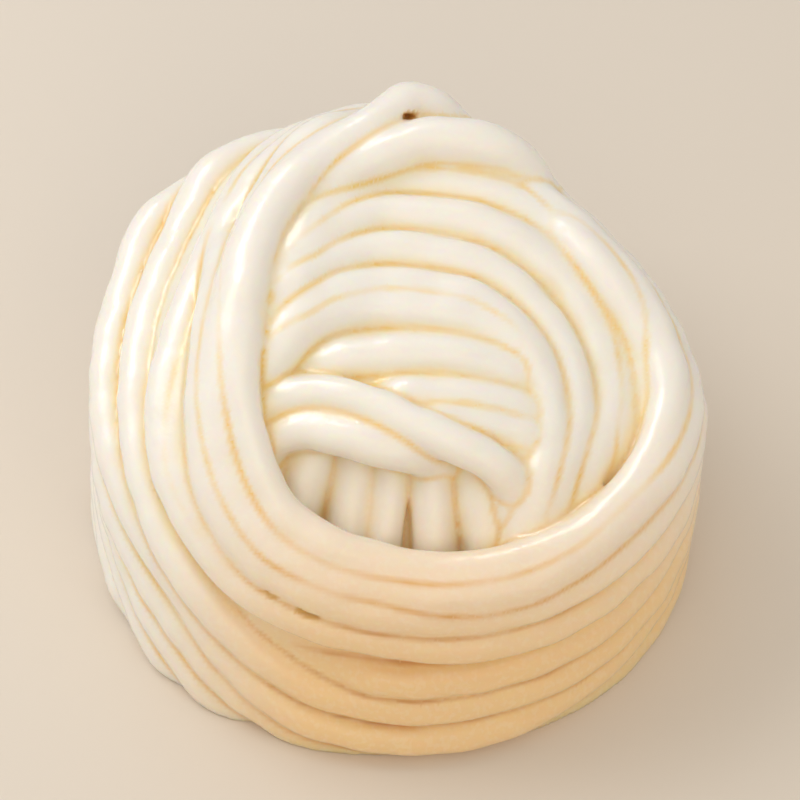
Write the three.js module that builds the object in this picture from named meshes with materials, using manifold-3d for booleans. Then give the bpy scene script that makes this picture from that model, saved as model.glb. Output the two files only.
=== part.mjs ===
// Steamed silk-thread bun: a skein of thick dough strands wound into a round ball
// and steamed until the turns fuse into one soft piece.
//
// Millimetres, +Z up. The bun rests on its flat underside at z = 0, and the origin
// is the middle of its bounding box there. -Y is the low, open side, where the
// collar of strands dips and the inside of the skein shows; the collar climbs to a
// crest on the left (-X) and over the back.
//
// Azimuth 0 is -Y and azimuth 90 is +X.

import * as THREE from 'three';
import { mergeVertices } from 'three/addons/utils/BufferGeometryUtils.js';
import Module from 'manifold-3d';

// ---- strands
const STRAND = 5.0; // diameter of one steamed strand
const RIM_STRAND = 5.2; // the strand that makes the top edge of the collar
const BROAD_STRAND = 5.6; // the strand over the back
const UNDER_STRAND = 4.5; // the strand in front of and under the broad one
const LINER_STRAND = 4.4; // the strand inside the rim on the right
const PITCH = 4.78; // distance between neighbouring turns, a little under a diameter
const CORE_LIFT = 0.5; // the core comes this far above the strands' centre lines
const SIDES = 8; // flats round a strand
const STEP = 7.0; // length of one straight piece of a strand
const TOUCHING = 0.003; // corners closer than this are one

// ---- collar: its section at twelve azimuths, 0, 30, 60 ... 330 degrees
const RIM_R = [27.4, 29.8, 32.5, 33.5, 28.9, 26.7, 30.2, 26.6, 23.2, 22.2, 24.6, 27.8];
const RIM_Z = [28.9, 29.6, 32.0, 36.0, 40.4, 42.0, 44.2, 47.0, 48.2, 46.8, 41.5, 32.5];
const SHOULDER_R = [32.6, 34.0, 36.0, 36.5, 32.5, 32.8, 37.3, 39.6, 40.2, 38.6, 38.0, 34.8];
const SHOULDER_Z = [21.0, 21.5, 23.5, 28.0, 29.0, 28.0, 30.0, 32.0, 31.0, 28.5, 23.0, 21.0];
const BASE_R = [37.0, 36.8, 37.0, 37.2, 36.3, 35.5, 36.0, 37.0, 37.5, 37.5, 38.0, 37.8];
const BASE_Z = 2.4; // height of the lowest full turn
// 2 is a round shoulder, 1 a straight slope, less than 1 a steep crest over a shelf
const ROUNDNESS = [2.0, 2.0, 2.0, 2.0, 1.8, 1.6, 1.5, 1.3, 0.85, 0.95, 1.25, 1.7];
const TURNS = 13; // turns from the rim down to the floor on the high left side
const LAST_AZIMUTH = -210; // every turn starts at azimuth 150 and ends here
const TUCKED_TURN = 4; // goes in under its neighbours at the front left and comes out at the back
const TUCKED_SPANS = [[150, -30], [-75, LAST_AZIMUTH]];
const NUDGE = [0, -0.07, -0.25, -0.35, -0.25, -0.22, -0.15]; // unequal spacing of the turns
const CREST_SQUEEZE = [0, 0.45, 0.6, 0.42]; // how far the upper turns bunch up on the left
// and at the front, on the right and at the back left: azimuth, width, and how far each turn shifts
const BUNCHES = [
  [0, 50, [0, 0.13, 0.45, 0.4]],
  [62, 24, [0, 0.6, 0.3, 0.1]],
  [-122, 16, [0, -0.4, -0.8, 0]],
];
// turns that stand out of the wall: turn, azimuth, width and how far
const PROUD = [[1, -150, 11, 1.5], [5, -138, 11, 1.5], [6, -126, 11, 1.5], [3, -5, 50, 0.7]];

// ---- inner strands, seen from above inside the collar
const PILLOW_Z = 42.0; // height of their centre lines in the middle of the bun
const PILLOW_RISE = 0.2; // slope up towards the back
const PILLOW_SAG_X = 0.0105;
const PILLOW_SAG_Y = 0.005;
const CREST_RISE = 0.018; // takes the sag away again towards the crest on the left
const CREST_FROM_Y = -18;
const CREST_TO_Y = 2;
const ARCH_X = 3.0; // x of the top of every arch
const ARCH_START_X = -20.0;

const smooth = (x, from, to) => {
  const k = Math.min(Math.max((x - from) / (to - from), 0), 1);
  return k * k * (3 - 2 * k);
};

// Value at an azimuth, smooth through the twelve numbers of a table.
function around(table, azimuth) {
  const x = (((azimuth % 360) + 360) % 360) / 30;
  const i = Math.floor(x);
  const f = x - i;
  const [a, b, c, d] = [-1, 0, 1, 2].map((k) => table[(i + k + 12) % 12]);
  return 0.5 * (2 * b + (c - a) * f + (2 * a - 5 * b + 4 * c - d) * f * f + (3 * b - a - 3 * c + d) * f ** 3);
}

// Section of the collar: from the rim over the shoulder and down to the floor.
function section(azimuth) {
  const rimR = around(RIM_R, azimuth);
  const rimZ = around(RIM_Z, azimuth);
  const shoulderR = around(SHOULDER_R, azimuth);
  const shoulderZ = around(SHOULDER_Z, azimuth);
  const baseR = around(BASE_R, azimuth);
  const power = 2 / around(ROUNDNESS, azimuth);
  const line = [];
  for (let i = 0; i <= 12; i++) {
    const angle = (i / 12) * (Math.PI / 2);
    const r = rimR + (shoulderR - rimR) * Math.sin(angle) ** power;
    const z = shoulderZ + (rimZ - shoulderZ) * Math.max(Math.cos(angle), 0) ** power;
    line.push([r, z]);
  }
  for (let i = 1; i <= 8; i++) {
    const f = i / 8;
    line.push([shoulderR + (baseR - shoulderR) * f, shoulderZ + (BASE_Z - shoulderZ) * f]);
  }
  // the lowest turns are rolled in under the bun
  line.push([baseR - 1.6, -0.4], [baseR - 6, -1.8], [baseR - 26, -6]);
  return line;
}

function alongSection(line, distance) {
  let left = Math.max(distance, 0);
  for (let i = 1; i < line.length; i++) {
    const [r0, z0] = line[i - 1];
    const [r1, z1] = line[i];
    const length = Math.hypot(r1 - r0, z1 - z0);
    if (left <= length || i === line.length - 1) {
      const f = left / length;
      return [r0 + (r1 - r0) * f, z0 + (z1 - z0) * f];
    }
    left -= length;
  }
  return line[line.length - 1];
}

// Point of the collar: turns counted down from the rim, and lift out of the surface.
function wall(azimuth, turns, lift = 0) {
  const line = section(azimuth);
  const distance = turns * PITCH;
  const [r, z] = alongSection(line, distance);
  const [ra, za] = alongSection(line, distance - 1.5);
  const [rb, zb] = alongSection(line, distance + 1.5);
  const length = Math.hypot(rb - ra, zb - za);
  const outR = r - (lift * (zb - za)) / length;
  const outZ = z + (lift * (rb - ra)) / length;
  const angle = THREE.MathUtils.degToRad(azimuth);
  return new THREE.Vector3(outR * Math.sin(angle), -outR * Math.cos(angle), outZ);
}

// Point on the pillow of inner strands.
function pillow(x, y, lift = 0) {
  const rise = CREST_RISE * smooth(y, CREST_FROM_Y, CREST_TO_Y) * Math.min(x, 0) ** 2;
  const z = PILLOW_Z + PILLOW_RISE * y - PILLOW_SAG_Y * y * y - PILLOW_SAG_X * x * x + rise;
  return new THREE.Vector3(x, y, z + lift);
}

const point = (p) => new THREE.Vector3(...p);
const bell = (x, middle, width) => Math.exp(-(((x - middle) / width) ** 2));

const paths = [];
const strand = (points, diameter = STRAND) => paths.push({ points, diameter });

// Points of a turn of the collar from one azimuth down to another.
function turnOfCollar(k, first, last) {
  const nudge = NUDGE[Math.min(k, NUDGE.length - 1)];
  const drop = 1 + NUDGE[Math.min(k + 1, NUDGE.length - 1)] - nudge;
  const points = [wall(first + 15, k + nudge + 0.2, -3.5)];
  for (let azimuth = first; azimuth >= last; azimuth -= 15) {
    const a = -azimuth;
    let turns = k + nudge + drop * smooth(a, 165, 208);
    let lift = 0;
    if (k === 3) turns += 0.5 * bell(azimuth, -66, 22);
    if (k < 4) {
      turns -= CREST_SQUEEZE[k] * smooth(a, 40, 80) * (1 - smooth(a, 130, 175));
      for (const [middle, width, shift] of BUNCHES) turns -= shift[k] * bell(azimuth, middle, width);
    }
    if (k === TUCKED_TURN) {
      turns -= 0.6 * smooth(a, 50, 90) * (1 - smooth(a, 150, 208));
      lift = -3.2 * smooth(a, 2, 22) + 1.5 * smooth(a, 60, 90) + 1.7 * smooth(a, 140, 172);
    }
    if (k > TUCKED_TURN) turns -= 0.75 * smooth(a, 5, 45) * (1 - smooth(a, 150, 208));
    for (const [turn, middle, width, out] of PROUD) {
      if (turn === k) lift += out * bell(azimuth, middle, width);
    }
    points.push(wall(azimuth, turns, lift));
  }
  if (last === LAST_AZIMUTH) points.push(wall(last - 15, k + nudge + drop, -3.5));
  return points;
}

// Each turn starts at the right of the back, runs round the front, the left and the
// back, and drops by one pitch there into the start of the next.
function collar() {
  for (let k = 0; k < TURNS; k++) {
    const spans = k === TUCKED_TURN ? TUCKED_SPANS : [[150, LAST_AZIMUTH]];
    for (const [first, last] of spans) strand(turnOfCollar(k, first, last), k === 0 ? RIM_STRAND : STRAND);
  }
  // a short strand fills the opening between the third and fourth turns
  const tucked = [[-104, 1.75, -4], [-92, 1.8, -2.4], [-81, 1.92, -1.6], [-71, 2.25, -1.2], [-62, 2.55, -0.9],
    [-54, 2.58, -0.8], [-42, 2.4, -0.7], [-30, 2.22, -0.8], [-20, 2.1, -1.4], [-10, 2.0, -4]];
  strand(tucked.map((p) => wall(...p)));
  // the liner lies inside the rim on the right
  const liner = [[14.5, 20.8, 41.3], [18.2, 18.0, 42.1], [21.6, 15.0, 42.1], [24.9, 11.5, 41.2], [27.7, 8.3, 39.4],
    [29.5, 5.4, 37.6], [30.1, 2.4, 35.8], [30.3, -1.3, 34.1], [30.0, -5.6, 31.7],
    [28.3, -10.6, 29.4], [25.5, -15.5, 27.0]];
  strand(liner.map(point), LINER_STRAND);
}

// An arch over the pillow: out from under the crest, across the top, down on the
// right side as a leg, and in under the rim at its foot.
function arch(top, drop, legX, legY, footX, footY) {
  const points = [];
  for (const [x, lift] of [[ARCH_START_X, -0.8], [-16, 0.6], [-12, 0.4], [-6.5, 0], [-1, 0]]) {
    const away = (ARCH_X - x) / (ARCH_X - ARCH_START_X);
    points.push(pillow(x, top - drop * away ** 3, lift));
  }
  for (let degrees = 10; degrees <= 90; degrees += 16) {
    const angle = THREE.MathUtils.degToRad(degrees);
    const x = ARCH_X + (legX - ARCH_X) * Math.sin(angle);
    points.push(pillow(x, legY + (top - legY) * Math.cos(angle), footY < legY ? 0 : -3 * smooth(degrees, 40, 90)));
  }
  if (footY < legY) {
    points.push(pillow(legX + (footX - legX) * 0.35, legY + (footY - legY) * 0.5, -0.5));
    points.push(pillow(footX, footY, -4));
  }
  strand(points);
}

function innerStrands() {
  arch(22.7, 22.9, 26.8, -2, 26.0, -12);
  arch(17.0, 18.6, 25.4, -4, 21.2, -20);
  arch(11.2, 16.6, 22.0, -7, 17.5, -23);
  arch(6.4, 14.4, 18.7, -10, 16.3, -22);
  arch(2.7, 12.7, 17.5, -5, 17.5, -5);
  // strands that cross under the lowest arch and sink in at both ends
  const crossing = [[-15, 18, -1.6, 5, 5.8], [-6, 20, -6.4, 3, 4.6], [0, 19.5, -9.8, 2, 4.6]];
  for (const [x0, x1, y, bow, diameter] of crossing) {
    const points = [];
    for (let i = 0; i <= 6; i++) {
      const f = i / 6;
      const x = x0 + (x1 - x0) * f;
      const down = (1 - f) ** 2.2 * bow + f ** 4 * 1.5;
      const sink = 3.4 * (Math.abs(2 * f - 1) ** 6);
      points.push(pillow(x, y - down, -0.7 - sink));
    }
    strand(points, diameter);
  }
  // two strands that sweep across the front of the pillow, the upper over the lower
  const upper = [[-23, -14.5, -4], [-19, -12.3, 0.2], [-15, -10.6, 1], [-10.5, -10, 1.2], [-5, -11, 1.4],
    [1, -13, 1.4], [6.5, -14.4, 1.2], [11.5, -15.3, 0.6], [14.8, -16.2, -1.2], [18, -17, -5]];
  const lower = [[-20, -21, -5], [-18.8, -17.5, -1.5], [-16.5, -14.6, -0.5], [-12.5, -13.6, 0],
    [-8, -14.3, 0], [-3, -15.2, -0.4], [1.5, -15, -1.8], [5.5, -13.5, -5]];
  strand(upper.map((p) => pillow(...p)));
  strand(lower.map((p) => pillow(...p)));
}

// Strands that stand upright in the opening behind the front rim.
function openingStrands() {
  const columns = [[-11.2, -14.3, 5.8], [-5.4, -14.3, 5.8], [-1.0, -15.0, 4.6],
    [4.6, -15.2, 5.6], [10.2, -15.2, 5.6], [14.6, -16.5, 5.0]];
  for (const [x, y, diameter] of columns) {
    const footX = x * 1.17 + 0.6;
    const footY = -22.8 + 0.008 * x * x;
    const points = [
      new THREE.Vector3(x, y + 7, 36),
      new THREE.Vector3(x, y, 31.5),
      new THREE.Vector3((x + footX) / 2, (y + footY) / 2 - 0.3, 28.4),
      new THREE.Vector3(footX, footY, 24.5),
      new THREE.Vector3(footX, footY - 2.5, 17),
    ];
    strand(points, diameter);
  }
}

// Strands over the back: a broad one that closes the collar and turns down at the
// right, one in front of and under it, and a loop that stands up behind them.
function backStrands() {
  const under = [[-14, 17, 43], [-10, 20.5, 44.4], [-5, 23.6, 45], [0, 25, 45], [5, 25.3, 44.4],
    [10, 24.4, 43], [14.5, 22, 41.2], [18, 18.5, 38.5]];
  const over = [[-19, 12, 42.5], [-17.1, 14.8, 45.2], [-13.4, 18.8, 46.5], [-9.2, 22.2, 47.2],
    [-5.5, 24.6, 47.6], [-2, 26.4, 47.8], [1.8, 27.2, 47.6], [5.8, 27.6, 46.8], [9.2, 27.7, 45.4],
    [11.9, 27, 43.2], [14.1, 26, 40.2], [15.5, 25.4, 35.5]];
  const loop = [[-21.9, -6, 43.6], [-22, 0, 46.4], [-21.6, 5.8, 47.6], [-20.1, 11.6, 48.2], [-16.9, 17.9, 48.4],
    [-12.9, 23, 48.6], [-8.8, 27.4, 48.6], [-6.4, 30.5, 48.3], [-4.2, 33, 47.6],
    [-1.1, 33.7, 45.8], [1.8, 33.4, 43], [3.9, 32.5, 39], [4.5, 30.5, 34]];
  strand(under.map(point), UNDER_STRAND);
  strand(over.map(point), BROAD_STRAND);
  strand(loop.map(point));
}

// A strand is a many-sided rod along a smooth path.
function rod({ points, diameter }) {
  const curve = new THREE.CatmullRomCurve3(points, false, 'catmullrom', 0.5);
  const outline = new THREE.Shape();
  for (let i = 0; i < SIDES; i++) {
    const angle = (2 * Math.PI * i) / SIDES;
    const r = diameter / 2;
    if (i === 0) outline.moveTo(r * Math.cos(angle), r * Math.sin(angle));
    else outline.lineTo(r * Math.cos(angle), r * Math.sin(angle));
  }
  const steps = Math.max(3, Math.round(curve.getLength() / STEP));
  return new THREE.ExtrudeGeometry(outline, { steps, bevelEnabled: false, extrudePath: curve });
}

// Height of the dough under the inner strands; it is lower in the front opening.
function coreTop(x, y) {
  const open = 31.2 + (y + 14.3) * 0.8;
  const edge = 0.9 * Math.max(Math.abs(x - 1) - 12, 0);
  return Math.min(pillow(x, y, CORE_LIFT - 0.3).z, Math.max(open, 22.5) + edge + Math.max(y + 12, 0) * 3);
}

// The core is a lathed blank whose rings are moved to lie just inside the strands.
function core() {
  const inner = [0.3, 0.55, 0.78, 1];
  const turns = [0.35, 1, 2, 3, 4, 5, 6, 7, 8, 9, 10, 11, 12];
  const rings = inner.length + turns.length;
  const blank = [new THREE.Vector2(0, rings + 1)];
  for (let i = 0; i < rings; i++) blank.push(new THREE.Vector2(1, rings - i));
  blank.push(new THREE.Vector2(0, 0));
  const geometry = new THREE.LatheGeometry(blank, 24);
  const place = geometry.attributes.position;
  for (let i = 0; i < place.count; i++) {
    const ring = rings - Math.round(place.getY(i));
    const azimuth = THREE.MathUtils.radToDeg(Math.atan2(place.getX(i), -place.getZ(i)));
    const angle = THREE.MathUtils.degToRad(azimuth);
    if (ring < 0) {
      place.setXYZ(i, 0, 0, coreTop(0, 0));
    } else if (ring < inner.length) {
      const r = inner[ring] * (around(RIM_R, azimuth) - 1);
      const x = r * Math.sin(angle);
      const y = -r * Math.cos(angle);
      place.setXYZ(i, x, y, coreTop(x, y));
    } else if (ring < rings) {
      const p = wall(azimuth, turns[ring - inner.length], CORE_LIFT);
      const floor = -0.5 - 0.1 * (ring - inner.length);
      place.setXYZ(i, p.x, p.y, Math.max(p.z, floor));
    } else {
      place.setXYZ(i, 0, 0, -2);
    }
  }
  return geometry;
}

const wasm = await Module();
wasm.setup();

function toSolid(geometry) {
  const bare = geometry.clone();
  bare.deleteAttribute('normal');
  bare.deleteAttribute('uv');
  const merged = mergeVertices(bare, TOUCHING);
  const vertProperties = new Float32Array(merged.attributes.position.array);
  const index = Array.from(merged.index.array);
  const triVerts = [];
  for (let i = 0; i < index.length; i += 3) {
    const [a, b, c] = index.slice(i, i + 3);
    if (a !== b && b !== c && c !== a) triVerts.push(a, b, c);
  }
  const made = new wasm.Manifold(new wasm.Mesh({ numProp: 3, vertProperties, triVerts: new Uint32Array(triVerts) }));
  if (made.volume() > 0) return made;
  const turned = new Uint32Array(triVerts).reverse();
  return new wasm.Manifold(new wasm.Mesh({ numProp: 3, vertProperties, triVerts: turned }));
}

function toGeometry(solid) {
  const { vertProperties, triVerts } = solid.getMesh();
  const geometry = new THREE.BufferGeometry();
  geometry.setAttribute('position', new THREE.BufferAttribute(new Float32Array(vertProperties), 3));
  geometry.setIndex(new THREE.BufferAttribute(new Uint32Array(triVerts), 1));
  return geometry;
}

function fused() {
  collar();
  innerStrands();
  openingStrands();
  backStrands();
  let whole = toSolid(core());
  for (const path of paths) whole = whole.add(toSolid(rod(path)));
  // everything below the floor is pressed flat
  const floor = new THREE.BoxGeometry(140, 140, 40);
  floor.translate(0, 0, -20);
  whole = whole.subtract(toSolid(floor));
  // corners that touch are made one, and scraps and sealed hollows are dropped
  const pieces = toSolid(toGeometry(whole)).decompose();
  pieces.sort((a, b) => b.volume() - a.volume());
  return pieces[0];
}

function bunGeometry() {
  const geometry = toGeometry(fused());
  geometry.computeBoundingBox();
  const middle = geometry.boundingBox.getCenter(new THREE.Vector3());
  geometry.translate(-middle.x, -middle.y, 0);
  geometry.computeVertexNormals();
  return geometry;
}

const dough = new THREE.MeshStandardMaterial({ color: 0xf2e3c4, roughness: 0.38, metalness: 0 });

const bun = new THREE.Mesh(bunGeometry(), dough);
bun.name = 'bun';

const group = new THREE.Group();
group.add(bun);

export default group;
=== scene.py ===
"""A steamed silk-thread bun: dough strands wound into a collar round arched inner strands.

The strands follow the same named sizes as the CAD part. Here they are round and uneven, and
run together in the creases: their distance field is joined smoothly and meshed. Sizes are in
millimetres up to the last step, where the mesh goes into metres and the part's own box.
"""

import math

import bpy
import numpy as np
from mathutils import Matrix, Vector


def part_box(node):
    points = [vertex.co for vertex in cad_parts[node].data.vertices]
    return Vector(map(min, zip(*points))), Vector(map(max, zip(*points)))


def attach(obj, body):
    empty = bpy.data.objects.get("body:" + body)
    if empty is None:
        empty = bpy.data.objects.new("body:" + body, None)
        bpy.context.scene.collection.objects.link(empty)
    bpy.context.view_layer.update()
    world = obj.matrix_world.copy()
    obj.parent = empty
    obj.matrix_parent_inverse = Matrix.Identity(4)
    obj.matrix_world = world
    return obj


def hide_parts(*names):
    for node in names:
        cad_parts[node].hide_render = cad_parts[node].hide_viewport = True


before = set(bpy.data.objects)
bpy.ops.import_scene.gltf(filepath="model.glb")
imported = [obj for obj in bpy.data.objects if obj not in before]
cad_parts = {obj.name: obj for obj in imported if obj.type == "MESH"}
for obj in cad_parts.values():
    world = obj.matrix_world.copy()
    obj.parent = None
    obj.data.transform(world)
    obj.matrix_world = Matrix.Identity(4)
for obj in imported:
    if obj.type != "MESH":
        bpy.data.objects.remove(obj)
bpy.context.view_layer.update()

MM = 0.001

# ---- strands
STRAND = 5.0  # diameter of one steamed strand
RIM_STRAND = 5.2  # the strand that makes the top edge of the collar
BROAD_STRAND = 5.6  # the strand over the back
UNDER_STRAND = 4.5  # the strand in front of and under the broad one
LINER_STRAND = 4.4  # the strand inside the rim on the right
PITCH = 4.78  # distance between neighbouring turns
WANDER = 0.22  # how far a strand strays from its line
SWELL = 0.05  # how much thicker and thinner it gets, against its diameter
LUMPS = 0.1  # height of the lumps in the skin
WAVES = 14  # that make them

# ---- seams: the width over which a strand runs into those before it; a wide seam is a faint one
SEAM = 1.3
TURN_SEAMS = [1.2, 1.7, 1.5, 0.9, 1.6, 1.0]  # of the upper turns; the last holds for the rest

# ---- collar: its section at twelve azimuths, 0, 30, 60 ... 330 degrees; 0 is -Y, 90 is +X
RIM_R = [27.4, 29.8, 32.5, 33.5, 28.9, 26.7, 30.2, 26.6, 23.2, 22.2, 24.6, 27.8]
RIM_Z = [28.9, 29.6, 32.0, 36.0, 40.4, 42.0, 44.2, 47.0, 48.2, 46.8, 41.5, 32.5]
SHOULDER_R = [32.6, 34.0, 36.0, 36.5, 32.5, 32.8, 37.3, 39.6, 40.2, 38.6, 38.0, 34.8]
SHOULDER_Z = [21.0, 21.5, 23.5, 28.0, 29.0, 28.0, 30.0, 32.0, 31.0, 28.5, 23.0, 21.0]
BASE_R = [37.0, 36.8, 37.0, 37.2, 36.3, 35.5, 36.0, 37.0, 37.5, 37.5, 38.0, 37.8]
BASE_Z = 2.4  # height of the lowest full turn
# 2 is a round shoulder, 1 a straight slope, less than 1 a steep crest over a shelf
ROUNDNESS = [2.0, 2.0, 2.0, 2.0, 1.8, 1.6, 1.5, 1.3, 0.85, 0.95, 1.25, 1.7]
SLOPE_REACH = 1.5  # how far each way the section's slope is taken
TURNS = 13
FIRST_AZIMUTH = 150  # every turn starts here
LAST_AZIMUTH = -210  # and ends here
AZIMUTH_STEP = 15
BURIED = -3.5  # how deep its ends lie
DROP_SPAN = (165, 208)  # degrees left of the front between which a turn drops by one pitch
TUCKED_TURN = 4  # goes in under its neighbours at the front left and comes out further back
TUCKED_SPANS = [(FIRST_AZIMUTH, -30), (-75, LAST_AZIMUTH)]
NUDGE = [0, -0.07, -0.25, -0.35, -0.25, -0.22, -0.15]  # unequal spacing of the turns
CREST_SQUEEZE = [0, 0.45, 0.6, 0.42]  # how far the upper turns bunch up on the left
# and at the front, on the right and at the back left: azimuth, width, and how far each turn shifts
BUNCHES = [
    (0, 50, [0, 0.13, 0.45, 0.4]),
    (62, 24, [0, 0.6, 0.3, 0.1]),
    (-122, 16, [0, -0.4, -0.8, 0]),
]
# turns that stand out of the wall: turn, azimuth, width and how far
PROUD = [(1, -150, 11, 1.5), (5, -138, 11, 1.5), (6, -126, 11, 1.5), (3, -5, 50, 0.7)]

# ---- inner strands
PILLOW_Z = 42.0  # height of their centre lines in the middle of the bun
PILLOW_RISE = 0.2  # slope up towards the back
PILLOW_SAG_X = 0.0105
PILLOW_SAG_Y = 0.005
CREST_RISE = 0.018  # takes the sag away again towards the crest on the left
CREST_FROM_Y = -18
CREST_TO_Y = 2
ARCH_X = 3.0  # x of the top of every arch
ARCH_START_X = -20.0

# ---- opening behind the front rim: the core is lower there, and rises to the back and the sides
OPENING_Y = -14.3  # where the upright strands stand
OPENING_Z = 31.2
OPENING_SLOPE = 0.8
OPENING_FLOOR_Z = 22.5
OPENING_X = 1
OPENING_HALF_WIDTH = 12
OPENING_SIDE_SLOPE = 0.9
OPENING_BACK_Y = -12
OPENING_BACK_SLOPE = 3

# ---- small gaps that stayed open between strands: the two ends and the radius
GAPS = [
    ([-14.8, -32.1, 26.1], [-13.6, -32.6, 25.7], 0.32),
    ([-10.6, -33.3, 24.9], [-9.2, -33.6, 24.5], 0.42),
    ([-9.2, -33.6, 24.5], [-8.0, -33.8, 24.4], 0.38),
    ([-4.9, 28.9, 48.8], [-3.3, 30.2, 47.8], 0.42),
    ([-4.1, 29.3, 48.7], [-4.1, 30.6, 47.0], 0.5),
]

# ---- fusing
VOXEL = 0.55  # a finer grid gives a mesh of over 200,000 triangles
BEAD = 0.55  # step along a strand
CORE_LIFT = -0.4  # the core's surface against the strands' centre lines
REACH = 2.4  # how far outside a strand its distance is worked out
FAR = 9.0  # stands for any distance beyond that
MARGIN = 3.0  # room in the grid round the bun

# ---- marks on the skin, which its colours follow: from where to where each one grows; all but the seam place painted shade
SEAM_NEAR = (0.05, 0.62)  # how much nearer one strand is than the next, where it fades out
SEAM_CLEAR = (0.3, 1.0)  # how fast that changes, as strands that run together have no seam
GAP_NEAR = (0.0, 0.35)  # distance from a gap, where its painted shadow fades out
CREASE_BALL = 1.6  # radius of the ball whose share of dough tells a crease, where shade is painted
CREASE_SHARE = (0.46, 0.72)
HOLLOW_BALL = 5.0  # and of the one that tells a hollow, where shade is painted too
HOLLOW_SHARE = (0.42, 0.72)
LOW_HEIGHT = (2, 39)  # where the painted shade and warm bounce light on the foot of the wall fade out
LOW_TILT = 0.35  # it reaches higher at the front
LOW_SIDE = (-34, -6)  # x where the painted shade begins, as the lit left side has none
PALER_Y = (-16, -11)  # the upright strands in the opening have less of the painted shade: its back,
PALER_RADIUS = (25, 28)  # its front
PALER_Z = (33, 36)  # and its top
LESS_CREASE = 0.25  # and how much less they have
LESS_LOW = 0.5

# ---- colours of the dough, of its painted shade and of its painted glints, linear
PALE = (0.94, 0.895, 0.84)
CLOUDED = (0.93, 0.86, 0.77)
WARM_LOW_SHADE = (0.88, 0.6, 0.28)  # painted shade and warm bounce light, low on the front and the right
# painted shade and warm glow in hollows and creases
HOLLOW_SHADE = (0.97, 0.83, 0.55)
CREASE_SHADE = (0.96, 0.75, 0.33)
GOLDEN = (0.93, 0.64, 0.16)  # in the seams
# seams in the painted shade low on the front and the right
GOLDEN_LOW_SHADE = (0.66, 0.28, 0.05)
# painted shadow inside the small gaps
GAP_SHADE = (0.7, 0.4, 0.09)
# painted glints: light specks at random over the skin
GLINT_SPECKS = (0.97, 0.93, 0.87)

# ---- unevenness of the skin: noise scales against a metre, heights in metres
CLOUD_SCALE = 90.0
SKIN_SCALE = 500.0
SPECK_SCALE = 1200.0
SKIN_HEIGHT = 0.00007
MOISTURE_HEIGHT = 0.00018


def smooth(x, start, end):
    k = np.clip((np.asarray(x, float) - start) / (end - start), 0, 1)
    return k * k * (3 - 2 * k)


def bell(x, middle, width):
    return math.exp(-(((x - middle) / width) ** 2))


def between(a, b, c, d, f):
    """Smooth way from b to c, where a is the one before them and d the one after."""
    return 0.5 * (2 * b + (c - a) * f + (2 * a - 5 * b + 4 * c - d) * f**2 + (3 * b - a - 3 * c + d) * f**3)


def around(table, azimuth):
    """Value at an azimuth, smooth through the twelve numbers of a table."""
    x = (np.asarray(azimuth, float) % 360) / 30
    i = np.floor(x).astype(int)
    values = np.asarray(table, float)
    return between(*(values[(i + k) % 12] for k in (-1, 0, 1, 2)), x - i)


def section(azimuth):
    """Section of the collar as (r, z) points: from the rim over the shoulder, down and under."""
    rim_r, rim_z, shoulder_r, shoulder_z, base_r, roundness = (
        float(around(table, azimuth)) for table in (RIM_R, RIM_Z, SHOULDER_R, SHOULDER_Z, BASE_R, ROUNDNESS)
    )
    angle = np.linspace(0, math.pi / 2, 13)
    over = np.stack([
        rim_r + (shoulder_r - rim_r) * np.sin(angle) ** (2 / roundness),
        shoulder_z + (rim_z - shoulder_z) * np.maximum(np.cos(angle), 0) ** (2 / roundness),
    ], 1)
    f = np.linspace(0, 1, 9)[1:, None]
    down = np.array([[shoulder_r, shoulder_z]]) * (1 - f) + np.array([[base_r, BASE_Z]]) * f
    under = [[base_r - 1.6, -0.4], [base_r - 6, -1.8], [base_r - 26, -6]]
    return np.concatenate([over, down, under])


def along(line, distance):
    """Point of a line, that distance from its start."""
    steps = np.hypot(*np.diff(line, axis=0).T)
    ends = np.concatenate([[0], np.cumsum(steps)])
    distance = max(distance, 0)
    i = min(int(np.searchsorted(ends, distance, side="right")) - 1, len(steps) - 1)
    f = (distance - ends[i]) / steps[i]
    return line[i] + (line[i + 1] - line[i]) * f


def wall(azimuth, turns, lift=0.0):
    """Point of the collar: turns counted down from the rim, and lift out of the surface."""
    line = section(azimuth)
    distance = turns * PITCH
    r, z = along(line, distance)
    dr, dz = along(line, distance + SLOPE_REACH) - along(line, distance - SLOPE_REACH)
    length = math.hypot(dr, dz)
    r -= lift * dz / length
    z += lift * dr / length
    angle = math.radians(azimuth)
    return [r * math.sin(angle), -r * math.cos(angle), z]


def pillow_height(x, y):
    rise = CREST_RISE * smooth(y, CREST_FROM_Y, CREST_TO_Y) * np.minimum(x, 0) ** 2
    return PILLOW_Z + PILLOW_RISE * y - PILLOW_SAG_Y * y * y - PILLOW_SAG_X * x * x + rise


def pillow(x, y, lift=0.0):
    return [x, y, pillow_height(x, y) + lift]


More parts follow.
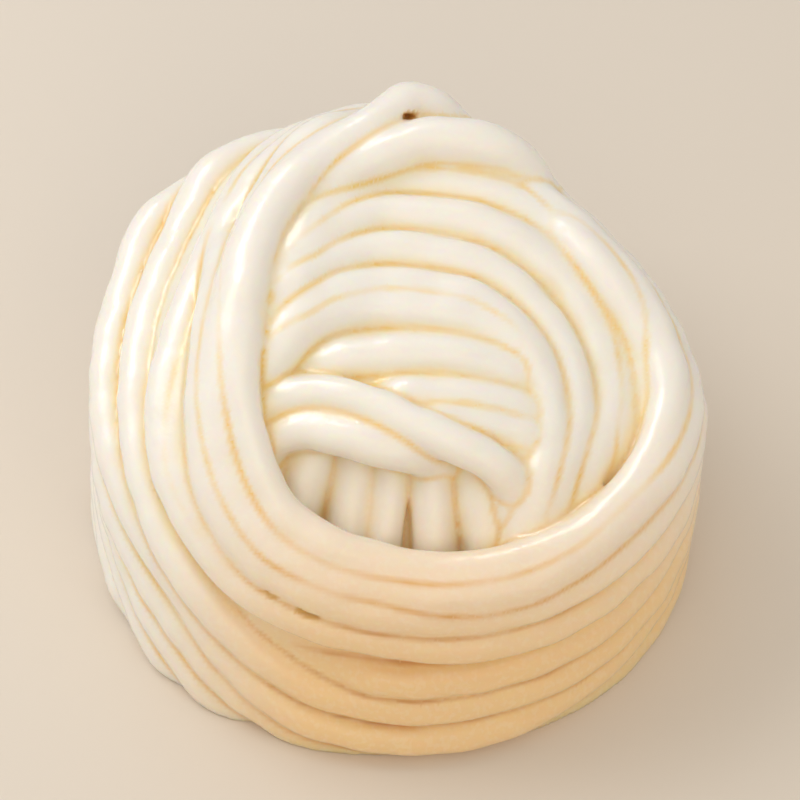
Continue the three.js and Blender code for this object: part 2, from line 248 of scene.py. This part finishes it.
def turn_of_collar(k, first, last):
    """Points of a turn from one azimuth round the front and the left to another."""
    nudge = NUDGE[min(k, len(NUDGE) - 1)]
    drop = 1 + NUDGE[min(k + 1, len(NUDGE) - 1)] - nudge
    points = [wall(first + AZIMUTH_STEP, k + nudge + 0.2, BURIED)]
    for azimuth in range(first, last - 1, -AZIMUTH_STEP):
        a = -azimuth
        turns = k + nudge + drop * smooth(a, *DROP_SPAN)
        lift = 0.0
        if k == 3:  # makes room for the tucked strand
            turns += 0.5 * bell(azimuth, -66, 22)
        if k < TUCKED_TURN:
            turns -= CREST_SQUEEZE[k] * smooth(a, 40, 80) * (1 - smooth(a, 130, 175))
            turns -= sum(shift[k] * bell(azimuth, middle, width) for middle, width, shift in BUNCHES)
        if k == TUCKED_TURN:  # sinks in at the front left and comes out again towards the back
            turns -= 0.6 * smooth(a, 50, 90) * (1 - smooth(a, 150, 208))
            lift = -3.2 * smooth(a, 2, 22) + 1.5 * smooth(a, 60, 90) + 1.7 * smooth(a, 140, 172)
        if k > TUCKED_TURN:  # closes up where that turn is buried
            turns -= 0.75 * smooth(a, 5, 45) * (1 - smooth(a, 150, 208))
        lift += sum(out * bell(azimuth, middle, width) for turn, middle, width, out in PROUD if turn == k)
        points.append(wall(azimuth, turns, lift))
    if last == LAST_AZIMUTH:
        points.append(wall(last - AZIMUTH_STEP, k + nudge + drop, BURIED))
    return points


def collar():
    """Turns of the collar, each dropping by one pitch over the back into the start of the next.

    A short strand is tucked in between two of them, and one lines the rim on the right.
    """
    for k in range(TURNS):
        diameter = RIM_STRAND if k == 0 else STRAND
        seam = TURN_SEAMS[min(k, len(TURN_SEAMS) - 1)]
        spans = TUCKED_SPANS if k == TUCKED_TURN else [(FIRST_AZIMUTH, LAST_AZIMUTH)]
        for first, last in spans:
            yield turn_of_collar(k, first, last), diameter, seam
    tucked = [[-104, 1.75, -4], [-92, 1.8, -2.4], [-81, 1.92, -1.6], [-71, 2.25, -1.2],
              [-62, 2.55, -0.9], [-54, 2.58, -0.8], [-42, 2.4, -0.7], [-30, 2.22, -0.8],
              [-20, 2.1, -1.4], [-10, 2.0, -4]]
    yield [wall(*p) for p in tucked], STRAND, SEAM
    liner = [[14.5, 20.8, 41.3], [18.2, 18.0, 42.1], [21.6, 15.0, 42.1], [24.9, 11.5, 41.2],
             [27.7, 8.3, 39.4], [29.5, 5.4, 37.6], [30.1, 2.4, 35.8], [30.3, -1.3, 34.1],
             [30.0, -5.6, 31.7], [28.3, -10.6, 29.4], [25.5, -15.5, 27.0]]
    yield liner, LINER_STRAND, SEAM


def arch(top, drop, leg_x, leg_y, foot_x, foot_y):
    """An arch over the pillow: out from under the crest, across, and down on the right as a leg."""
    points = []
    for x, lift in [(ARCH_START_X, -0.8), (-16, 0.6), (-12, 0.4), (-6.5, 0), (-1, 0)]:
        away = (ARCH_X - x) / (ARCH_X - ARCH_START_X)
        points.append(pillow(x, top - drop * away**3, lift))
    for degrees in range(10, 91, 16):
        angle = math.radians(degrees)
        x = ARCH_X + (leg_x - ARCH_X) * math.sin(angle)
        lift = 0 if foot_y < leg_y else -3 * smooth(degrees, 40, 90)
        points.append(pillow(x, leg_y + (top - leg_y) * math.cos(angle), lift))
    if foot_y < leg_y:
        points.append(pillow(leg_x + (foot_x - leg_x) * 0.35, leg_y + (foot_y - leg_y) * 0.5, -0.5))
        points.append(pillow(foot_x, foot_y, -4))
    return points


def inner_strands():
    """Arches over the pillow, strands that cross below them, and two that sweep over the front."""
    arches = [
        ((22.7, 22.9, 26.8, -2, 26.0, -12), SEAM),
        ((17.0, 18.6, 25.4, -4, 21.2, -20), 1.6),
        ((11.2, 16.6, 22.0, -7, 17.5, -23), SEAM),
        ((6.4, 14.4, 18.7, -10, 16.3, -22), 0.9),
        ((2.7, 12.7, 17.5, -5, 17.5, -5), 1.9),
    ]
    for sizes, seam in arches:
        yield arch(*sizes), STRAND, seam
    crossing = [(-15, 18, -1.6, 5, 5.8), (-6, 20, -6.4, 3, 4.6), (0, 19.5, -9.8, 2, 4.6)]
    for x0, x1, y, bow, diameter in crossing:
        points = []
        for f in np.linspace(0, 1, 7):
            down = (1 - f) ** 2.2 * bow + f**4 * 1.5
            points.append(pillow(x0 + (x1 - x0) * f, y - down, -0.7 - 3.4 * abs(2 * f - 1) ** 6))
        yield points, diameter, SEAM
    upper = [[-23, -14.5, -4], [-19, -12.3, 0.2], [-15, -10.6, 1], [-10.5, -10, 1.2], [-5, -11, 1.4],
             [1, -13, 1.4], [6.5, -14.4, 1.2], [11.5, -15.3, 0.6], [14.8, -16.2, -1.2], [18, -17, -5]]
    lower = [[-20, -21, -5], [-18.8, -17.5, -1.5], [-16.5, -14.6, -0.5], [-12.5, -13.6, 0],
             [-8, -14.3, 0], [-3, -15.2, -0.4], [1.5, -15, -1.8], [5.5, -13.5, -5]]
    yield [pillow(*p) for p in upper], STRAND, SEAM
    yield [pillow(*p) for p in lower], STRAND, SEAM


def opening_strands():
    """Strands that stand upright in the opening behind the front rim."""
    columns = [[-11.2, -14.3, 5.8], [-5.4, -14.3, 5.8], [-1.0, -15.0, 4.6],
               [4.6, -15.2, 5.6], [10.2, -15.2, 5.6], [14.6, -16.5, 5.0]]
    for x, y, diameter in columns:
        foot_x = x * 1.17 + 0.6
        foot_y = -22.8 + 0.008 * x * x
        middle = [(x + foot_x) / 2, (y + foot_y) / 2 - 0.3, 28.4]
        foot = [foot_x, foot_y, 24.5]
        yield [[x, y + 7, 36], [x, y, 31.5], middle, foot, [foot_x, foot_y - 2.5, 17]], diameter, SEAM


def back_strands():
    """A broad strand over the back that turns down at the right, one under it, and a loop behind."""
    over = [[-19.0, 12.0, 42.5], [-17.1, 14.8, 45.2], [-13.4, 18.8, 46.5], [-9.2, 22.2, 47.2],
            [-5.5, 24.6, 47.6], [-2.0, 26.4, 47.8], [1.8, 27.2, 47.6], [5.8, 27.6, 46.8], [9.2, 27.7, 45.4],
            [11.9, 27.0, 43.2], [14.1, 26.0, 40.2], [15.5, 25.4, 35.5]]
    under = [[-14.0, 17.0, 43.0], [-10.0, 20.5, 44.4], [-5.0, 23.6, 45.0], [0.0, 25.0, 45.0],
             [5.0, 25.3, 44.4], [10.0, 24.4, 43.0], [14.5, 22.0, 41.2], [18.0, 18.5, 38.5]]
    yield under, UNDER_STRAND, SEAM
    yield over, BROAD_STRAND, SEAM
    loop = [[-21.9, -6.0, 43.6], [-22.0, 0.0, 46.4], [-21.6, 5.8, 47.6], [-20.1, 11.6, 48.2],
            [-16.9, 17.9, 48.4], [-12.9, 23.0, 48.6], [-8.8, 27.4, 48.6], [-6.4, 30.5, 48.3],
            [-4.2, 33.0, 47.6], [-1.1, 33.7, 45.8], [1.8, 33.4, 43.0], [3.9, 32.5, 39.0],
            [4.5, 30.5, 34.0]]
    yield loop, STRAND, SEAM


def curve(points):
    """Beads along a smooth curve through the points."""
    p = np.array(points, float)
    p = np.concatenate([[2 * p[0] - p[1]], p, [2 * p[-1] - p[-2]]])
    beads = []
    for a, b, c, d in zip(p, p[1:], p[2:], p[3:]):
        count = max(2, math.ceil(np.linalg.norm(c - b) / BEAD))
        f = np.arange(count)[:, None] / count
        beads.append(between(a, b, c, d, f))
    return np.concatenate(beads + [p[-2:-1]])


def uneven(beads, diameter, k):
    """A strand's beads strayed a little off their line, and radii that swell and shrink along it."""
    s = np.concatenate([[0], np.cumsum(np.linalg.norm(np.diff(beads, axis=0), axis=1))])
    stray = [np.sin(s / (8.5 + i) + 2.3 * k + 1.9 * i) for i in range(3)]
    swell = np.sin(s / 11 + 1.7 * k) + 0.6 * np.sin(s / 4.7 + 2.9 * k) + 0.5 * math.sin(4.1 * k)
    return beads + WANDER * np.stack(stray, 1), diameter / 2 * (1 + SWELL * swell)


def axis_values(low, high):
    return np.arange(low - MARGIN, high + MARGIN, VOXEL, dtype=np.float32)


XS, YS, ZS = axis_values(-41.5, 41.5), axis_values(-41, 41), axis_values(0, 51.5)
START = np.array([XS[0], YS[0], ZS[0]])
CORNERS = [(a, b, c) for a in (0, 1) for b in (0, 1) for c in (0, 1)]  # of a cell of the grid


def core_field():
    """About the distance to the core that carries the strands, on the whole grid."""
    azimuths = np.arange(0, 361, 3)
    heights = np.arange(-8, 60, 0.5)
    radius = np.zeros((len(azimuths), len(heights)))
    for i, azimuth in enumerate(azimuths):
        line = section(azimuth)[::-1]
        radius[i] = np.interp(heights, line[:, 1], line[:, 0]) - 2.2 * np.maximum(heights - line[-1, 1], 0)
    slope = np.gradient(radius, heights, axis=1)
    x, y = np.meshgrid(XS, YS, indexing="ij")
    turn = (np.degrees(np.arctan2(x, -y)) % 360) / 3
    i = np.clip(turn.astype(int), 0, len(azimuths) - 2)
    f = (turn - i)[..., None]
    columns = []
    for table in (radius, slope):
        rows = np.stack([np.interp(ZS, heights, row) for row in table])
        columns.append(rows[i] * (1 - f) + rows[i + 1] * f)
    outside, steep = columns
    side = (np.hypot(x, y)[..., None] - outside) / np.sqrt(1 + steep**2) - CORE_LIFT
    opening = np.maximum(OPENING_Z + (y - OPENING_Y) * OPENING_SLOPE, OPENING_FLOOR_Z)
    edge = OPENING_SIDE_SLOPE * np.maximum(np.abs(x - OPENING_X) - OPENING_HALF_WIDTH, 0)
    back = np.maximum(y - OPENING_BACK_Y, 0) * OPENING_BACK_SLOPE
    top = np.minimum(pillow_height(x, y), opening + edge + back) + CORE_LIFT
    above = (ZS - top[..., None]) * 0.85
    return np.maximum(side, above).astype(np.float32)


def strand_block(beads, radii):
    """Distance to one strand, and the part of the grid it was worked out on."""
    low = np.maximum(((beads.min(0) - radii.max() - REACH - START) / VOXEL).astype(int), 0)
    high = ((beads.max(0) + radii.max() + REACH - START) / VOXEL).astype(int) + 2
    block = np.full([len(v[a:b]) for v, a, b in zip((XS, YS, ZS), low, high)], FAR, np.float32)
    for bead, radius in zip(beads, radii):
        a = np.maximum(((bead - radius - REACH - START) / VOXEL).astype(int) - low, 0)
        b = ((bead + radius + REACH - START) / VOXEL).astype(int) + 2 - low
        near = block[a[0]:b[0], a[1]:b[1], a[2]:b[2]]
        first = a + low
        x, y, z = (
            (values[i:i + n] - middle) ** 2
            for values, i, n, middle in zip((XS, YS, ZS), first, near.shape, bead)
        )
        far = np.sqrt(x[:, None, None] + y[None, :, None] + z[None, None, :]) - radius
        np.minimum(near, far, out=near)
    where = tuple(slice(a, a + n) for a, n in zip(low, block.shape))
    return block, where


def fused_field():
    """The joined field, how much nearer the nearest strand is than the next one, and the gaps."""
    field = core_field()
    first = field.copy()
    second = np.full_like(field, FAR)
    paths = [*collar(), *inner_strands(), *opening_strands(), *back_strands()]
    for k, (points, diameter, seam) in enumerate(paths):
        block, where = strand_block(*uneven(curve(points), diameter, k))
        total = field[where]
        overlap = np.maximum(seam - np.abs(total - block), 0) / seam
        field[where] = np.minimum(total, block) - overlap**2 * seam / 4
        second[where] = np.minimum(second[where], np.maximum(first[where], block))
        first[where] = np.minimum(first[where], block)
    gaps = np.full_like(field, FAR)
    for start, end, radius in GAPS:
        block, where = strand_block(np.linspace(start, end, 12), np.full(12, radius))
        gaps[where] = np.minimum(gaps[where], block)
    return np.maximum(np.maximum(field, -gaps), -ZS), second - first, gaps


def steepness(grid):
    """Slope at every point of a grid, from the steeper side where there is a kink."""
    total = np.zeros_like(grid)
    for axis in range(3):
        step = np.abs(np.diff(grid, axis=axis)) / VOXEL
        step = np.pad(step, [(1, 1) if i == axis else (0, 0) for i in range(3)], mode="edge")
        before = [slice(None, -1) if i == axis else slice(None) for i in range(3)]
        after = [slice(1, None) if i == axis else slice(None) for i in range(3)]
        total += np.maximum(step[tuple(before)], step[tuple(after)]) ** 2
    return np.sqrt(total)


def surface_nets(field):
    """Quads over the surface where the field is zero."""
    inside = field < 0
    cells = [slice(None, -1), slice(1, None)]
    count = sum(inside[cells[a], cells[b], cells[c]].astype(np.uint8) for a, b, c in CORNERS)
    active = np.argwhere((count > 0) & (count < 8))
    values = [field[tuple((active + corner).T)] for corner in CORNERS]
    total = np.zeros((len(active), 3))
    crossings = np.zeros(len(active))
    for i, p in enumerate(CORNERS):
        for j, q in enumerate(CORNERS):
            if j > i and sum(abs(a - b) for a, b in zip(p, q)) == 1:
                cut = (values[i] < 0) != (values[j] < 0)
                f = values[i][cut] / (values[i][cut] - values[j][cut])
                total[cut] += np.array(p) + (np.array(q) - np.array(p)) * f[:, None]
                crossings[cut] += 1
    vertices = (active + total / crossings[:, None]) * VOXEL + START
    number = np.full(count.shape, -1, np.int64)
    number[tuple(active.T)] = np.arange(len(active))
    quads = []
    for axis in range(3):
        u, v = [i for i in range(3) if i != axis]
        ahead = np.roll(inside, -1, axis)
        edge = inside != ahead
        edge[tuple(slice(-1, None) if i == axis else slice(None) for i in range(3))] = False
        at = np.argwhere(edge)
        out = inside[tuple(at.T)]
        if axis == 1:
            out = ~out
        unit_u, unit_v = np.eye(3, dtype=int)[u], np.eye(3, dtype=int)[v]
        ring = [number[tuple((at - s).T)] for s in (0 * unit_u, unit_u, unit_u + unit_v, unit_v)]
        quad = np.stack(ring, 1)
        quad[~out] = quad[~out][:, ::-1]
        quads.append(quad)
    return vertices, np.concatenate(quads)


def largest_shell(vertices, quads):
    """Drops sealed hollows and loose scraps."""
    label = np.arange(len(vertices))
    edges = np.concatenate([quads[:, [0, 1]], quads[:, [1, 2]], quads[:, [2, 3]]])
    while True:
        low = np.minimum(label[edges[:, 0]], label[edges[:, 1]])
        before = label.copy()
        np.minimum.at(label, edges[:, 0], low)
        np.minimum.at(label, edges[:, 1], low)
        label = label[label]
        if np.array_equal(label, before):
            break
    keep = label == np.bincount(label).argmax()
    number = np.cumsum(keep) - 1
    return vertices[keep], number[quads[keep[quads[:, 0]]]]


def sample(grid, points):
    """Value of a grid at points, straight between its corners."""
    place = np.clip((points - START) / VOXEL, 0, np.array(grid.shape) - 1.001)
    i = place.astype(int)
    f = place - i
    value = np.zeros(len(points))
    for corner in CORNERS:
        weight = np.prod(np.where(corner, f, 1 - f), axis=1)
        value += weight * grid[tuple((i + corner).T)]
    return value


def lumps(points):
    """Smooth uneven height, about -1 to 1, from waves in many directions."""
    rng = np.random.default_rng(5)
    height = np.zeros(len(points))
    for _ in range(WAVES):
        direction = rng.normal(size=3)
        direction *= rng.uniform(0.5, 1.3) / np.linalg.norm(direction)  # radians in a millimetre
        height += np.sin(points @ direction + rng.uniform(0, 2 * math.pi))
    return height / math.sqrt(WAVES)


def relax(vertices, quads, field, rounds=3):
    """Evens out the mesh, sets it back on the zero of the field each time, and adds the lumps."""
    edges = np.stack([np.concatenate([quads[:, i] for i in range(4)]),
                      np.concatenate([quads[:, (i + 1) % 4] for i in range(4)])], 1)
    degree = np.bincount(edges[:, 0], minlength=len(vertices))
    slopes = np.gradient(field, VOXEL)
    for _ in range(rounds):
        ends = vertices[edges[:, 1]]
        total = np.stack([np.bincount(edges[:, 0], ends[:, c], len(vertices)) for c in range(3)], 1)
        vertices = vertices + 0.5 * (total / degree[:, None] - vertices)
        slope = np.stack([sample(g, vertices) for g in slopes], 1)
        step = sample(field, vertices) / np.maximum((slope**2).sum(1), 0.2)
        vertices = vertices - slope * np.clip(step, -VOXEL, VOXEL)[:, None]
    return vertices + slope * (LUMPS * lumps(vertices))[:, None]


def blurred(grid, radius):
    """Mean over about a ball of that radius, from three box means along each axis."""
    half = max(1, round(radius / VOXEL / 1.7))
    for _ in range(3):
        for axis in range(3):
            pad = [(half + 1, half) if i == axis else (0, 0) for i in range(3)]
            total = np.cumsum(np.pad(grid, pad), axis=axis, dtype=np.float32)
            width = 2 * half + 1
            a = [slice(width, None) if i == axis else slice(None) for i in range(3)]
            b = [slice(None, -width) if i == axis else slice(None) for i in range(3)]
            grid = (total[tuple(a)] - total[tuple(b)]) / width
    return grid


def skin_marks(vertices, field, apart, gaps):
    """Values from 0 to 1 at every vertex, which the dough's colours follow; all but the seam place painted
    shade.
    """
    x, y, z = vertices.T
    solid = (field < 0).astype(np.float32)
    radius = np.hypot(x, y)
    less_shade = (1 - smooth(y, *PALER_Y)) * (1 - smooth(radius, *PALER_RADIUS)) * (1 - smooth(z, *PALER_Z))
    slope = sample(steepness(apart), vertices)
    seam = 1 - smooth(sample(apart, vertices) / np.maximum(slope, 0.2), *SEAM_NEAR)
    # painted shade where strands meet, in hollows and low on the front and the right
    crease_shade = smooth(sample(blurred(solid, CREASE_BALL), vertices), *CREASE_SHARE)
    hollow_shade = smooth(sample(blurred(solid, HOLLOW_BALL), vertices), *HOLLOW_SHARE)
    low = (1 - smooth(z + LOW_TILT * y, *LOW_HEIGHT)) * smooth(x, *LOW_SIDE)
    return {
        "seam": seam * smooth(slope, *SEAM_CLEAR),
        # painted shadow inside the gaps
        "gap_shade": 1 - smooth(sample(gaps, vertices), *GAP_NEAR),
        "crease_shade": crease_shade * (1 - LESS_CREASE * less_shade),
        "hollow_shade": hollow_shade * (1 - LESS_CREASE * less_shade),
        "low": low * (1 - LESS_LOW * less_shade),
    }


def bun_mesh():
    field, apart, gaps = fused_field()
    vertices, quads = largest_shell(*surface_nets(field))
    vertices = relax(vertices, quads, field)
    vertices[:, 2] = np.maximum(vertices[:, 2], 0)
    marks = skin_marks(vertices, field, apart, gaps)
    low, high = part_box("bun")
    own_low, own_high = vertices.min(0), vertices.max(0)
    size = np.array(high) - np.array(low)
    vertices = (vertices - own_low) / (own_high - own_low) * size + np.array(low)
    mesh = bpy.data.meshes.new("fused_bun")
    mesh.from_pydata(vertices.tolist(), [], quads.tolist())
    for name, values in marks.items():
        mesh.attributes.new(name, "FLOAT", "POINT").data.foreach_set("value", values.astype(np.float32))
    mesh.shade_smooth()
    mesh.update()
    return mesh


def node(tree, kind, **values):
    """A new shader node; in_2=5 sets its third input to 5, and other names are its settings."""
    made = tree.nodes.new(kind)
    for name, value in values.items():
        if name.startswith("in_"):
            made.inputs[int(name[3:])].default_value = value
        else:
            setattr(made, name, value)
    return made


def mix(tree, factor, a, b):
    """Colour a, or b where the factor is 1."""
    made = node(tree, "ShaderNodeMix", data_type="RGBA")
    tree.links.new(factor, made.inputs["Factor"])
    for socket, colour in ((made.inputs[6], a), (made.inputs[7], b)):
        if isinstance(colour, tuple):
            socket.default_value = (*colour, 1)
        else:
            tree.links.new(colour, socket)
    return made.outputs[2]


def scaled(tree, value, factor):
    """A value times a number or another value, kept between 0 and 1."""
    made = node(tree, "ShaderNodeMath", operation="MULTIPLY", use_clamp=True)
    tree.links.new(value, made.inputs[0])
    if isinstance(factor, float):
        made.inputs[1].default_value = factor
    else:
        tree.links.new(factor, made.inputs[1])
    return made.outputs[0]


def noise(tree, place, scale, detail):
    made = node(tree, "ShaderNodeTexNoise", in_2=scale, in_3=detail)
    tree.links.new(place, made.inputs["Vector"])
    return made.outputs["Fac"]


def spread(tree, value, low, high, to_low, to_high):
    """A value between low and high, spread over another range."""
    made = node(tree, "ShaderNodeMapRange", in_1=low, in_2=high, in_3=to_low, in_4=to_high)
    tree.links.new(value, made.inputs[0])
    return made.outputs[0]


def dough():
    """Cream dough with a moist sheen, golden in the seams, warmer with painted shade in the creases and low
    down, with painted shadow in the gaps and painted glints.
    """
    material = bpy.data.materials.new("steamed_dough")
    material.use_nodes = True
    tree = material.node_tree
    shader = tree.nodes["Principled BSDF"]
    shader.inputs["Roughness"].default_value = 0.42
    shader.inputs["IOR"].default_value = 1.4
    shader.inputs["Subsurface Weight"].default_value = 0.7
    shader.inputs["Subsurface Radius"].default_value = (1.0, 0.65, 0.3)
    shader.inputs["Subsurface Scale"].default_value = 0.003
    shader.inputs["Coat Weight"].default_value = 0.5
    place = node(tree, "ShaderNodeTexCoord").outputs["Object"]
    marks = {name: node(tree, "ShaderNodeAttribute", attribute_name=name).outputs["Fac"]
             for name in ("seam", "crease_shade", "hollow_shade", "low", "gap_shade")}
    cloud = noise(tree, place, CLOUD_SCALE, 3.0)
    fine = noise(tree, place, SPECK_SCALE, 1.0)
    skin = noise(tree, place, SKIN_SCALE, 3.0)
    colour = mix(tree, scaled(tree, cloud, 0.5), PALE, CLOUDED)
    # painted shade: warm low on the wall, in hollows and in creases
    shades = [("low", 0.9, WARM_LOW_SHADE), ("hollow_shade", 0.15, HOLLOW_SHADE), ("crease_shade", 0.5, CREASE_SHADE)]
    for name, strength, shade in shades:
        colour = mix(tree, scaled(tree, marks[name], strength), colour, shade)
    # painted glints: light specks at random
    colour = mix(tree, spread(tree, fine, 0.5, 0.66, 0.0, 0.1), colour, GLINT_SPECKS)
    seam = scaled(tree, marks["seam"], spread(tree, cloud, 0.38, 0.62, 0.35, 1.0))
    # seams take a darker colour where the low painted shade is
    golden = mix(tree, marks["low"], GOLDEN, GOLDEN_LOW_SHADE)
    colour = mix(tree, scaled(tree, seam, 0.95), colour, golden)
    # painted shadow in the gaps
    colour = mix(tree, scaled(tree, marks["gap_shade"], 0.9), colour, GAP_SHADE)
    tree.links.new(colour, shader.inputs["Base Color"])
    tree.links.new(spread(tree, fine, 0.42, 0.6, 0.1, 0.22), shader.inputs["Coat Roughness"])
    for height, target in ((SKIN_HEIGHT, "Normal"), (MOISTURE_HEIGHT, "Coat Normal")):
        bump = node(tree, "ShaderNodeBump")
        bump.inputs["Strength"].default_value = 1.0
        bump.inputs["Distance"].default_value = height
        tree.links.new(skin, bump.inputs["Height"])
        tree.links.new(bump.outputs["Normal"], shader.inputs[target])
    return material


def make_bun():
    mesh = bun_mesh()
    mesh.materials.append(dough())
    bun = bpy.data.objects.new("fused_bun", mesh)
    bpy.context.scene.collection.objects.link(bun)
    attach(bun, "root")
    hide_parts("bun")


def make_floor():
    material = bpy.data.materials.new("pale_floor")
    material.use_nodes = True
    shader = material.node_tree.nodes["Principled BSDF"]
    shader.inputs["Base Color"].default_value = (0.76, 0.69, 0.6, 1)
    shader.inputs["Roughness"].default_value = 0.8
    mesh = bpy.data.meshes.new("floor")
    half = 2.0
    corners = [(-half, -half, 0), (half, -half, 0), (half, half, 0), (-half, half, 0)]
    mesh.from_pydata(corners, [], [(0, 1, 2, 3)])
    mesh.materials.append(material)
    floor = bpy.data.objects.new("floor", mesh)
    bpy.context.scene.collection.objects.link(floor)


def area_light(name, azimuth, elevation, distance, size, power, colour):
    """A soft lamp that looks at the bun; azimuth 0 is the front and 90 the right, in degrees."""
    data = bpy.data.lights.new(name, "AREA")
    data.size = size
    data.energy = power
    data.color = colour
    lamp = bpy.data.objects.new(name, data)
    a, e = math.radians(azimuth), math.radians(elevation)
    place = Vector((math.cos(e) * math.sin(a), -math.cos(e) * math.cos(a), math.sin(e))) * distance
    lamp.location = place
    lamp.rotation_euler = (-place).to_track_quat("-Z", "Y").to_euler()
    bpy.context.scene.collection.objects.link(lamp)
    return lamp


def make_light():
    area_light("key", -104, 51, 0.4, 0.24, 0.5, (1.0, 0.98, 0.97))
    area_light("fill", 18, 47, 1.0, 0.9, 2.25, (1.0, 0.82, 0.56))
    window = area_light("window", -135, 52, 0.8, 0.6, 4.0, (1.0, 1.0, 1.0))
    window.data.shape = "RECTANGLE"
    window.data.size_y = 0.25
    window.visible_diffuse = False  # it only shows as a reflection in the moist skin
    world = bpy.data.worlds.new("studio")
    world.use_nodes = True
    background = world.node_tree.nodes["Background"]
    background.inputs["Color"].default_value = (1.0, 0.98, 0.96, 1)
    background.inputs["Strength"].default_value = 0.61
    bpy.context.scene.world = world
    bpy.context.scene.view_settings.view_transform = "Standard"


def make_camera():
    elevation = math.radians(54)
    distance = 966 * MM
    roll = math.radians(6.6)
    crop = 310  # the square of the picture that the bun takes, of a lens 2900 such units long
    aim = Vector((0, 0, 26)) * MM
    data = bpy.data.cameras.new("camera")
    data.sensor_width = 36
    data.lens = 2900 / crop * data.sensor_width
    camera = bpy.data.objects.new("camera", data)
    back = Vector((0, -math.cos(elevation), math.sin(elevation)))
    turn = (-back).to_track_quat("-Z", "Y").to_matrix().to_4x4()
    camera.matrix_world = Matrix.Translation(aim + back * distance) @ turn @ Matrix.Rotation(roll, 4, "Z")
    bpy.context.scene.collection.objects.link(camera)
    bpy.context.scene.camera = camera


make_camera()
make_light()
make_floor()
make_bun()
